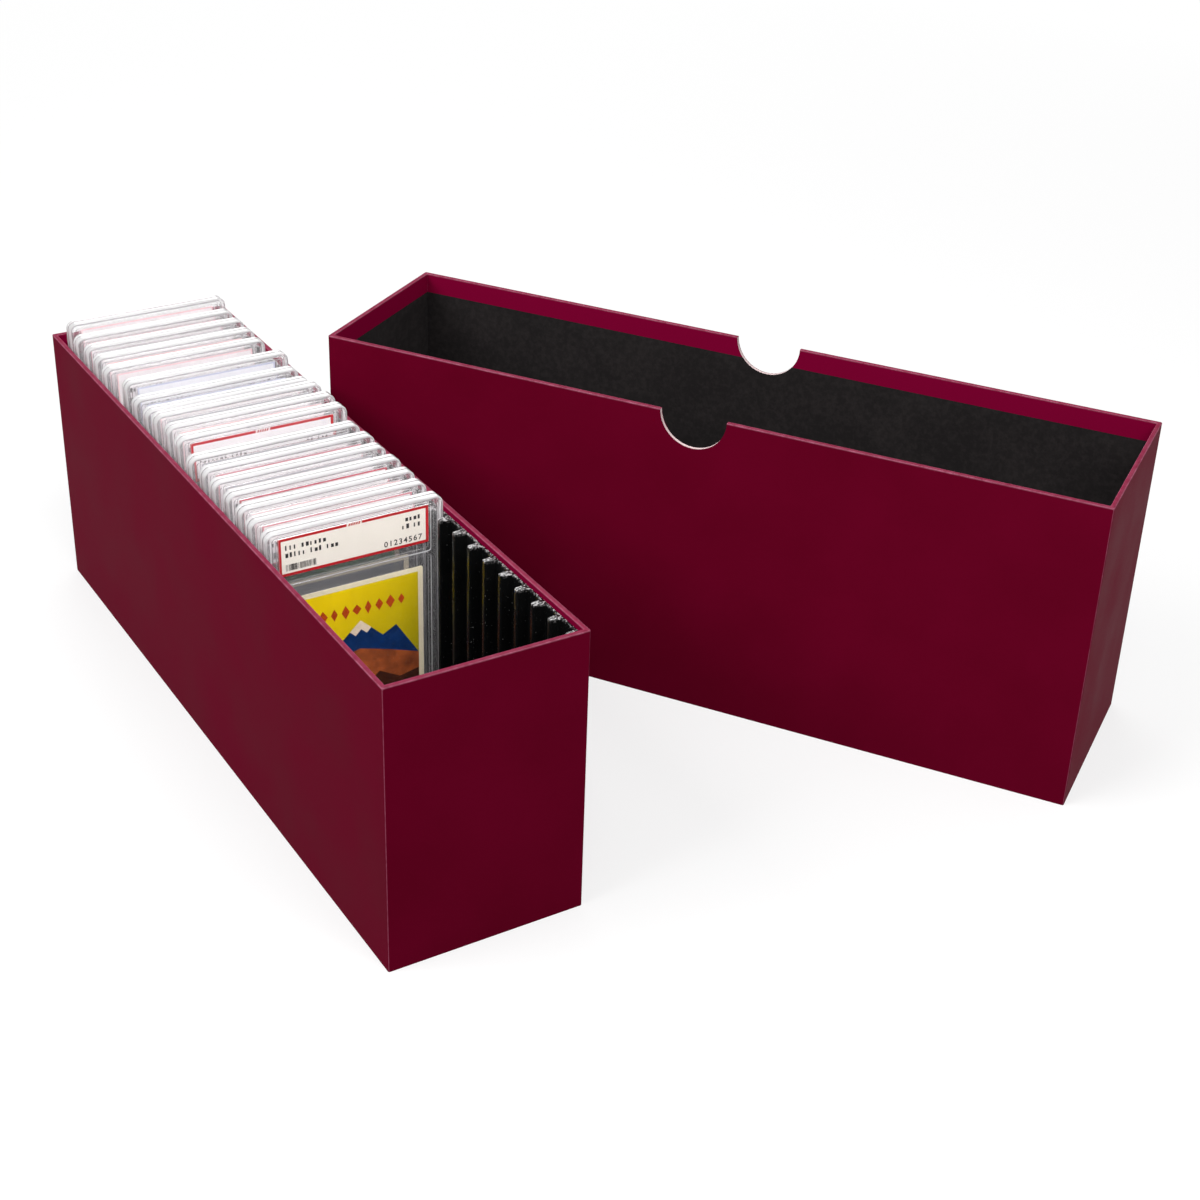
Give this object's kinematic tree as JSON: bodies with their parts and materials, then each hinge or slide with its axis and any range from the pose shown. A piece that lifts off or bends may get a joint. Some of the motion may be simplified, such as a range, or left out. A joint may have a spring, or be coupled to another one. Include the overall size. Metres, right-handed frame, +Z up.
{
  "type": "graded card storage case",
  "caption": "Long rigid board case with slotted black racks holding upright clear card holders, and a deep lift-off lid with thumb notches standing beside it.",
  "frame": {"origin": "middle of the base's underside, on the table", "axes": "+Z up, +Y along the base from its free front slots to the filled ones, +X across the base towards the lid"},
  "size_m": [0.3997, 0.4189, 0.1522],
  "materials": {
    "burgundy_paper": "smooth satin covering paper, coated",
    "black_lining_paper": "matt, uncoated",
    "stay_paper": "matt kraft",
    "grey_board": "raw rigid board, pale where it is cut",
    "black_pad_card": "matt",
    "black_rack_plastic": "gloss, moulded",
    "clear_holder_plastic": "clear, polished",
    "printed_card": "smooth printed card and label paper"
  },
  "bodies": {
    "base": {"base_floor_board": "grey_board", "base_left_board": "grey_board", "base_right_board": "grey_board", "base_front_board": "grey_board", "base_back_board": "grey_board", "base_corner_stays": "stay_paper", "base_wrap": "burgundy_paper", "base_bottom_sheet": "burgundy_paper", "base_lining": "black_lining_paper", "base_floor_pad": "black_pad_card", "left_slot_rack": "black_rack_plastic", "right_slot_rack": "black_rack_plastic"},
    "lid": {"lid_top_board": "grey_board", "lid_left_board": "grey_board", "lid_right_board": "grey_board", "lid_front_board": "grey_board", "lid_back_board": "grey_board", "lid_corner_stays": "stay_paper", "lid_wrap": "burgundy_paper", "lid_top_sheet": "burgundy_paper", "lid_lining": "black_lining_paper"},
    "holder_01": {"holder_01_front_half": "clear_holder_plastic", "holder_01_rear_half": "clear_holder_plastic", "holder_01_label": "printed_card", "holder_01_card": "printed_card"},
    "holder_02": {"holder_02_halves": "clear_holder_plastic", "holder_02_label_and_card": "printed_card"},
    "holder_03": {"holder_03_halves": "clear_holder_plastic", "holder_03_label_and_card": "printed_card"},
    "holder_04": {"holder_04_halves": "clear_holder_plastic", "holder_04_label_and_card": "printed_card"},
    "holder_05": {"holder_05_halves": "clear_holder_plastic", "holder_05_label_and_card": "printed_card"},
    "holder_06": {"holder_06_halves": "clear_holder_plastic", "holder_06_label_and_card": "printed_card"},
    "holder_07": {"holder_07_halves": "clear_holder_plastic", "holder_07_label_and_card": "printed_card"},
    "holder_08": {"holder_08_halves": "clear_holder_plastic", "holder_08_label_and_card": "printed_card"},
    "holder_09": {"holder_09_halves": "clear_holder_plastic", "holder_09_label_and_card": "printed_card"},
    "holder_10": {"holder_10_halves": "clear_holder_plastic", "holder_10_label_and_card": "printed_card"},
    "holder_11": {"holder_11_halves": "clear_holder_plastic", "holder_11_label_and_card": "printed_card"},
    "holder_12": {"holder_12_halves": "clear_holder_plastic", "holder_12_label_and_card": "printed_card"},
    "holder_13": {"holder_13_halves": "clear_holder_plastic", "holder_13_label_and_card": "printed_card"},
    "holder_14": {"holder_14_halves": "clear_holder_plastic", "holder_14_label_and_card": "printed_card"},
    "holder_15": {"holder_15_halves": "clear_holder_plastic", "holder_15_label_and_card": "printed_card"},
    "holder_16": {"holder_16_halves": "clear_holder_plastic", "holder_16_label_and_card": "printed_card"},
    "holder_17": {"holder_17_halves": "clear_holder_plastic", "holder_17_label_and_card": "printed_card"},
    "holder_18": {"holder_18_halves": "clear_holder_plastic", "holder_18_label_and_card": "printed_card"}
  },
  "joints": [
    {"name": "lid_lift", "type": "slide", "parent": "base", "child": "lid", "axis": [0, 0, 1], "range_m": [0, 0.16]},
    {"name": "holder_01_lift", "type": "slide", "parent": "base", "child": "holder_01", "axis": [0, 0, 1], "range_m": [0, 0.14]},
    {"name": "holder_02_lift", "type": "slide", "parent": "base", "child": "holder_02", "axis": [0, 0, 1], "range_m": [0, 0.14]},
    {"name": "holder_03_lift", "type": "slide", "parent": "base", "child": "holder_03", "axis": [0, 0, 1], "range_m": [0, 0.14]},
    {"name": "holder_04_lift", "type": "slide", "parent": "base", "child": "holder_04", "axis": [0, 0, 1], "range_m": [0, 0.14]},
    {"name": "holder_05_lift", "type": "slide", "parent": "base", "child": "holder_05", "axis": [0, 0, 1], "range_m": [0, 0.14]},
    {"name": "holder_06_lift", "type": "slide", "parent": "base", "child": "holder_06", "axis": [0, 0, 1], "range_m": [0, 0.14]},
    {"name": "holder_07_lift", "type": "slide", "parent": "base", "child": "holder_07", "axis": [0, 0, 1], "range_m": [0, 0.14]},
    {"name": "holder_08_lift", "type": "slide", "parent": "base", "child": "holder_08", "axis": [0, 0, 1], "range_m": [0, 0.14]},
    {"name": "holder_09_lift", "type": "slide", "parent": "base", "child": "holder_09", "axis": [0, 0, 1], "range_m": [0, 0.14]},
    {"name": "holder_10_lift", "type": "slide", "parent": "base", "child": "holder_10", "axis": [0, 0, 1], "range_m": [0, 0.14]},
    {"name": "holder_11_lift", "type": "slide", "parent": "base", "child": "holder_11", "axis": [0, 0, 1], "range_m": [0, 0.14]},
    {"name": "holder_12_lift", "type": "slide", "parent": "base", "child": "holder_12", "axis": [0, 0, 1], "range_m": [0, 0.14]},
    {"name": "holder_13_lift", "type": "slide", "parent": "base", "child": "holder_13", "axis": [0, 0, 1], "range_m": [0, 0.14]},
    {"name": "holder_14_lift", "type": "slide", "parent": "base", "child": "holder_14", "axis": [0, 0, 1], "range_m": [0, 0.14]},
    {"name": "holder_15_lift", "type": "slide", "parent": "base", "child": "holder_15", "axis": [0, 0, 1], "range_m": [0, 0.14]},
    {"name": "holder_16_lift", "type": "slide", "parent": "base", "child": "holder_16", "axis": [0, 0, 1], "range_m": [0, 0.14]},
    {"name": "holder_17_lift", "type": "slide", "parent": "base", "child": "holder_17", "axis": [0, 0, 1], "range_m": [0, 0.14]},
    {"name": "holder_18_lift", "type": "slide", "parent": "base", "child": "holder_18", "axis": [0, 0, 1], "range_m": [0, 0.14]}
  ]
}
